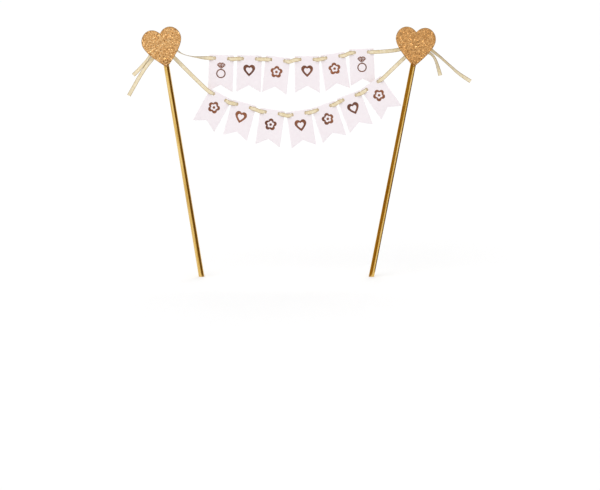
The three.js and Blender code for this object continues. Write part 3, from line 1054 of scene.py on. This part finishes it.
def heart_depth(along, up):
    """How far the heart's face swells towards the viewer."""
    reach = (along / HEART_MIDDLE) ** 2 + ((up - HEART_MIDDLE) / HEART_MIDDLE) ** 2
    return -HEART_CROWN * max(0, 1 - reach)


def make_heart(side, looks, draw):
    """A die-cut board heart with a face of glitter flakes."""
    node = f"{side}_heart"
    low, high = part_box(node)
    points = node_points(node)
    tip = Vector(points[points[:, 2].argmin()])
    lean = HEART_LEANS[side]
    along_heart = Vector((math.cos(lean), 0, math.sin(lean)))
    place = plane_place(Vector((tip.x, low.y, tip.z)), along_heart)
    outline = heart_loop(HEART_SIZE * MM, 0)

    board = Shape()
    add_sheet(
        board, outline, [], HEART_SPACING,
        lambda along, up: on_place(place, along, up, heart_depth(along, up)),
    )
    layers = {"thickness": high.y - low.y, "offset": -1, "material_offset": 1, "material_offset_rim": 2}
    piece = board.piece(
        f"{node}_board", [looks["bed"], looks["back"], looks["edge"]],
        modifiers=[("SOLIDIFY", layers), rounded(HEART_EDGE, HEART_EDGE_STEPS)],
    )
    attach(piece, "frame")
    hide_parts(node)

    flakes = Shape()
    half = HEART_SIZE / 2 * MM
    tries = [(draw.uniform(-half, half), draw.uniform(0, 2 * half)) for _ in range(2 * FLAKE_COUNT)]
    spots = np.array(tries)
    spots = spots[inside(spots, shrunk(outline, FLAKE_REACH))][:FLAKE_COUNT]
    for along, up in spots:
        add_flake(flakes, on_place(place, along, up, heart_depth(along, up)), HEART_PAINTED_LIGHT_AND_SHADE[side], draw)
    glitter = flakes.piece(f"{node}_glitter", [looks["flake"]], smooth=False)
    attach(glitter, "frame")


def add_flake(shape, spot, painted_light_and_shade, draw):
    """Adds one six-sided flake, tilted and toned by chance, its tone scaled by its heart's painted
    light and shade.
    """
    tilt = abs(draw.gauss(0, FLAKE_TILT))
    turn = draw.uniform(0, 2 * math.pi)
    spin = draw.uniform(0, 1)
    size = draw.uniform(FLAKE_SMALL, FLAKE_LARGE)
    facing = Vector((tilt * math.cos(turn), -1, tilt * math.sin(turn))).normalized()
    first = facing.cross(Vector((0, 0, 1))).normalized()
    second = facing.cross(first)
    centre = spot + facing * (FLAKE_THICKNESS + size * tilt * FLAKE_RISE)
    points = []
    for layer in (0, -1):
        for corner in range(FLAKE_SIDES):
            angle = 2 * math.pi / FLAKE_SIDES * (corner + spin)
            rim = first * (size * math.cos(angle)) + second * (size * math.sin(angle))
            points.append(centre + rim + facing * (FLAKE_THICKNESS * layer))
    faces = ring_faces(2, FLAKE_SIDES, [list(range(FLAKE_SIDES))])
    grid = [(point.x, point.z) for point in points]
    # The flake's random tone, scaled by its heart's painted light and shade
    shape.add(points, faces, grid, tone=painted_light_and_shade * draw.betavariate(*FLAKE_TONE_SPREAD))


def make_pad(side, looks):
    """A foam pad with adhesive film, hollowed where it hugs the stick."""
    node = f"{side}_pad"
    foot, top = stick_ends(side)
    axis = (top - foot).normalized()
    across = axis.cross(Vector((0, -1, 0))).normalized()
    across = across if across.x > 0 else -across
    points = node_points(node) - np.array(foot)
    runs = points @ np.array(axis)
    half = float(np.abs(points @ np.array(across)).max())
    front, back = float(points[:, 1].min()), float(points[:, 1].max())
    mouth = math.asin(-back / PAD_BORE)
    arc = [mouth + (math.pi - 2 * mouth) * step / PAD_ARC_STEPS for step in range(PAD_ARC_STEPS + 1)]
    section = [
        (-half, front),
        (half, front),
        (half, front + PAD_TAPE),
        (half - PAD_TAPE_LIP, front + PAD_TAPE),
        (half - PAD_TAPE_LIP, (front + back) / 2),
        (half, back),
        *[(PAD_BORE * math.cos(angle), -PAD_BORE * math.sin(angle)) for angle in arc],
        (-half, back),
        (PAD_TAPE_LIP - half, (front + back) / 2),
        (PAD_TAPE_LIP - half, front + PAD_TAPE),
        (-half, front + PAD_TAPE),
    ]
    section = divided(section, PAD_SPACING)
    rings = []
    for ring in range(PAD_RINGS + 1):
        share = 1 - ring / PAD_RINGS
        middle = foot + axis * (runs.min() + (runs.max() - runs.min()) * share)
        for x, y in section:
            foam = front + PAD_TAPE < y < back
            swell = PAD_BULGE * math.sin(math.pi * share) * (1 if foam else TAPE_BULGE) * x / half
            point = middle + across * (x + swell) + Vector((0, y, 0))
            pit = FOAM_PITTING * noise.noise(point / FOAM_CELL)
            rings.append(point + (across * math.copysign(pit, x) if foam else Vector()))
    flat = [Vector(point) for point in section]
    loop = list(range(len(section)))
    _, _, cap, *_ = delaunay_2d_cdt(flat, [], [loop], INNER_TRIANGLES, MERGE_DISTANCE)
    grid = [(point.x, point.z) for point in rings]
    shape = Shape()
    shape.add(rings, ring_faces(PAD_RINGS + 1, len(section), cap), grid)
    for index in range(PAD_RINGS * len(section)):
        start = section[index % len(section)][1]
        end = section[(index + 1) % len(section)][1]
        if max(start, end) <= front + PAD_TAPE:
            shape.kinds[index] = 1
    piece = shape.piece(f"{node}_foam", [looks["foam"], looks["tape"]])
    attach(piece, "frame")
    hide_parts(node)


def creased(angle, creases):
    """Share of the radius at an angle, flattened between the foil's creases."""
    angle %= 2 * math.pi
    edges = [creases[-1] - 2 * math.pi, *creases, creases[0] + 2 * math.pi]
    index = max(i for i, edge in enumerate(edges) if edge <= angle)
    middle, half = (edges[index] + edges[index + 1]) / 2, (edges[index + 1] - edges[index]) / 2
    flat = math.cos(half) / math.cos(angle - middle)
    return 1 - CREASE_DEPTH * (1 - flat)


def make_stick(side, looks, draw):
    """A rolled stick wrapped in foil, creased lengthwise, with layered paper at its cut ends."""
    node = f"{side}_stick"
    foot, top = stick_ends(side)
    length = (top - foot).length
    axis = (top - foot) / length
    deep = Vector((0, 1, 0))
    across = deep.cross(axis).normalized()
    step = 2 * math.pi / CREASES
    creases = sorted((number + draw.uniform(*CREASE_ROOM)) * step for number in range(CREASES))
    phase = draw.uniform(0, 2 * math.pi)

    def ring(run, radius, flattened):
        wander = CREASE_WANDER * math.sin(2 * math.pi * CREASE_WAVES * run / length + phase)
        points = []
        for number in range(STICK_SIDES):
            angle = 2 * math.pi * number / STICK_SIDES
            reach = radius * (creased(angle + wander, creases) if flattened else 1)
            point = foot + axis * run + across * (reach * math.cos(angle))
            points.append(point + deep * (reach * math.sin(angle)))
        return points

    layers = []
    for layer in range(1, END_LAYERS):
        share = layer / END_LAYERS
        layers.append(((STICK_RADIUS - END_CHAMFER) * share, LAYER_STEP * (layer % 2)))
    wrapped = length - 2 * END_CHAMFER
    runs = [END_CHAMFER + wrapped * number / STICK_RINGS for number in range(STICK_RINGS + 1)]

    # Rows run from the top down, so that the faces between them point outwards
    rows = [ring(length - depth, radius, False) for radius, depth in layers]
    rows.append(ring(length, STICK_RADIUS - END_CHAMFER, False))
    rows += [ring(run, STICK_RADIUS, True) for run in reversed(runs)]
    rows.append(ring(0, STICK_RADIUS - END_CHAMFER, False))
    rows += [ring(depth, radius, False) for radius, depth in reversed(layers)]
    circumference = 2 * math.pi * STICK_RADIUS
    points, grid = [], []
    for row in rows:
        for number, point in enumerate(row):
            points.append(point)
            grid.append((number / STICK_SIDES, (point - foot).dot(axis) / circumference))
    shape = Shape()
    shape.add(points, ring_faces(len(rows), STICK_SIDES, [list(range(STICK_SIDES))]), grid)
    paper_rows = [*range(END_LAYERS - 1), *range(len(rows) - END_LAYERS, len(rows) - 1)]
    for row in paper_rows:
        shape.kinds[row * STICK_SIDES:(row + 1) * STICK_SIDES] = [1] * STICK_SIDES
    shape.kinds[-2:] = [1, 1]
    piece = shape.piece(f"{node}_foil", [looks["gold"], looks["paper"]])
    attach(piece, "frame")
    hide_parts(node)


# Stage

def white_to_eye(tree):
    """A factor that is 1 for camera, glossy and transmitted rays."""
    path = tree.node("ShaderNodeLightPath", {})
    seen = path.outputs["Is Camera Ray"]
    for ray in ("Is Glossy Ray", "Is Transmission Ray"):
        seen = tree.maths("MAXIMUM", seen, path.outputs[ray])
    return seen


def make_world():
    """A white backdrop over plain even light."""
    world = bpy.data.worlds.new("studio")
    bpy.context.scene.world = world
    tree = Nodes(world)
    light = tree.nodes["Background"]
    tree.feed(light, {"Strength": AMBIENT, "Color": WHITE})
    backdrop = tree.node("ShaderNodeBackground", {"Color": WHITE})
    values = {0: white_to_eye(tree), 1: light.outputs[0], 2: backdrop.outputs[0]}
    mix = tree.node("ShaderNodeMixShader", values)
    tree.feed(tree.nodes["World Output"], {"Surface": mix.outputs[0]})


def make_flat(name, corners, shade):
    """A flat stage piece with a plain matt look. Returns both."""
    mesh = bpy.data.meshes.new(name)
    mesh.from_pydata([tuple(corner) for corner in corners], [], [(0, 1, 2, 3)])
    flat = bpy.data.objects.new(name, mesh)
    bpy.context.scene.collection.objects.link(flat)
    colour = (shade, shade, shade, 1)
    look = Look(name, {"Base Color": colour, "Roughness": 1, "Specular IOR Level": 0})
    mesh.materials.append(look.material)
    return flat, look


def make_floor():
    """A white floor that keeps the object's shadow."""
    half = FLOOR_SIZE / 2
    corners = [(-half, -half, 0), (half, -half, 0), (half, half, 0), (-half, half, 0)]
    _, look = make_flat("floor", corners, FLOOR_SHADE)
    glow = look.maths("MULTIPLY", white_to_eye(look), FLOOR_GLOW)
    look.finish(Emission_Color=WHITE, Emission_Strength=glow)


def towards(azimuth, elevation=0):
    """A direction, in degrees. Azimuth 0 is to the viewer and 90 to the viewer's right."""
    turn, rise = math.radians(azimuth), math.radians(elevation)
    return Vector((math.sin(turn) * math.cos(rise), -math.cos(turn) * math.cos(rise), math.sin(rise)))


def make_sun(name, azimuth, elevation, power):
    """A broad, soft, distant lamp."""
    data = bpy.data.lights.new(name, "SUN")
    data.energy = power
    data.angle = SUN_SPREAD
    lamp = bpy.data.objects.new(name, data)
    lamp.rotation_euler = towards(azimuth, elevation).to_track_quat("Z", "Y").to_euler()
    bpy.context.scene.collection.objects.link(lamp)


def make_screen(side, start, end, glow):
    """A dark studio screen beside a stick, seen only in polished surfaces."""
    foot, top = stick_ends(side)
    top = foot.lerp(top, (SCREEN_TOP - foot.z) / (top.z - foot.z))
    first, second = towards(start) * SCREEN_DISTANCE, towards(end) * SCREEN_DISTANCE
    corners = [foot + first, foot + second, top + second, top + first]
    screen, look = make_flat(f"{side}_screen", corners, 0)
    look.finish(Emission_Color=glow, Emission_Strength=1)
    screen.visible_camera = False
    screen.visible_diffuse = False
    screen.visible_shadow = False


def make_stage():
    """The floor, the backdrop, the lamps and the screens."""
    bpy.context.scene.view_settings.view_transform = "Standard"
    make_world()
    make_floor()
    for name, (azimuth, elevation, power) in SUNS.items():
        make_sun(name, azimuth, elevation, power)
    for screen in SCREENS:
        make_screen(*screen)


def main():
    """Makes the camera, every piece and the stage. The order of the pieces sets their random draws."""
    make_camera()
    ribbon = ribbon_look()
    for row in ("upper", "lower"):
        make_line(row, ribbon)
        for side in ("left", "right"):
            make_tail(side, row, ribbon)
            make_knot(side, row, ribbon)
    looks = {
        "gold": gold_foil_look(),
        "paper": paper_end_look(),
        "bed": glitter_bed_look(),
        "flake": glitter_flake_look(),
        "edge": board_edge_look(),
        "back": board_back_look(),
        "card": card_look(),
        "copper": copper_foil_look(),
        "foam": foam_look(),
        "tape": tape_look(),
    }
    draw = random.Random(SEED)
    for row, count in FLAG_COUNTS.items():
        for number in range(count):
            make_flag(row, number, looks, draw)
    for side in ("left", "right"):
        make_heart(side, looks, draw)
        make_pad(side, looks)
        make_stick(side, looks, draw)
    make_stage()


main()
